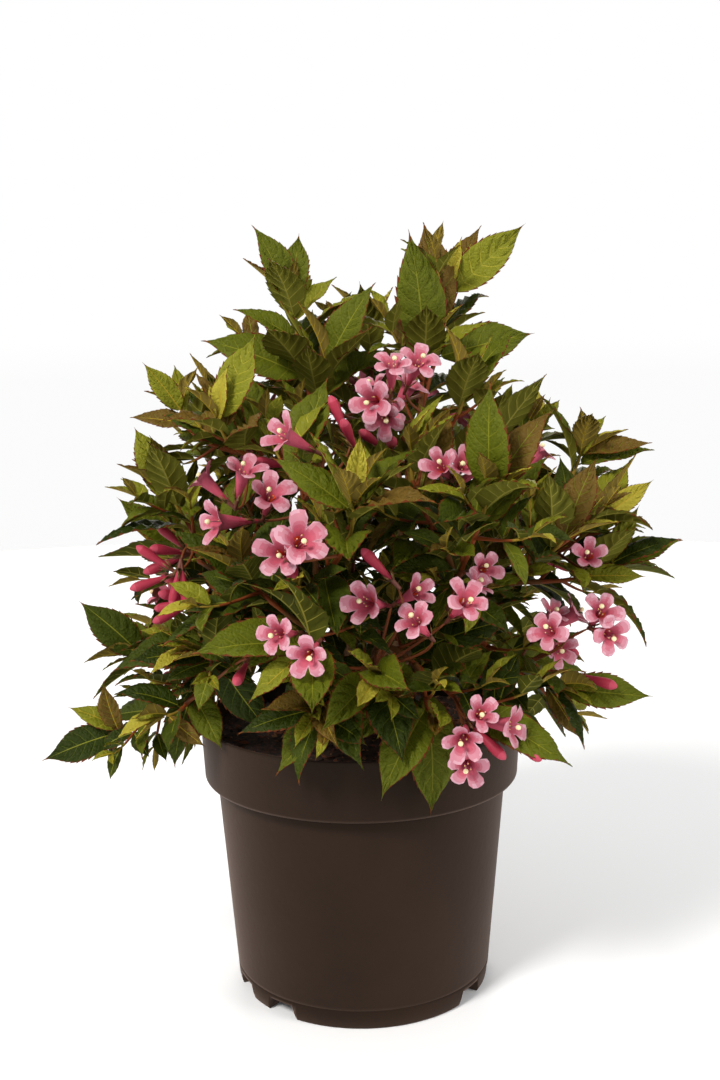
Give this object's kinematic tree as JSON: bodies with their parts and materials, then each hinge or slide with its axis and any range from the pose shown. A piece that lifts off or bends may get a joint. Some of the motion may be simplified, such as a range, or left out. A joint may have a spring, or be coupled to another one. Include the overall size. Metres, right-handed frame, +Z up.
{
  "type": "potted flowering shrub",
  "caption": "Bushy weigela in bloom, with pink trumpet flowers among pointed leaves, in a round black-brown nursery pot.",
  "frame": {"origin": "on the ground, on the axis of the round pot", "axes": "+Z up along the pot's axis; -Y is the side seen in the picture"},
  "size_m": [0.3712, 0.3554, 0.4457],
  "materials": {
    "pot": "satin black-brown moulded plastic",
    "soil": "rough peat and bark",
    "wood": "thin matt bark",
    "foliage": "soft satin leaves, with matt pink blossom",
    "blossom": "matt petals"
  },
  "bodies": {
    "root": {"bough_back": "wood", "bough_back_left": "wood", "bough_back_right": "wood", "bough_front": "wood", "bough_front_left": "wood", "bough_front_right": "wood", "bough_left": "wood", "bough_right": "wood", "bough_top_left": "wood", "bough_top_right": "wood", "foliage_back_high": "foliage", "foliage_back_left_high": "foliage", "foliage_back_left_low": "foliage", "foliage_back_left_middle": "foliage", "foliage_back_low": "foliage", "foliage_back_middle": "foliage", "foliage_back_right_high": "foliage", "foliage_back_right_low": "foliage", "foliage_back_right_middle": "foliage", "foliage_centre": "foliage", "foliage_centre_left": "foliage", "foliage_front": "foliage", "foliage_front_right": "foliage", "foliage_left": "foliage", "foliage_left_out": "foliage", "foliage_low_left": "foliage", "foliage_low_right": "foliage", "foliage_right": "foliage", "foliage_right_low": "foliage", "foliage_top_back": "foliage", "foliage_top_left": "foliage", "foliage_top_right": "foliage", "foliage_upper_left": "foliage", "foliage_upper_outer_right": "foliage", "foliage_upper_right": "foliage", "pot": "pot", "soil": "soil", "stem": "wood"}
  },
  "joints": []
}
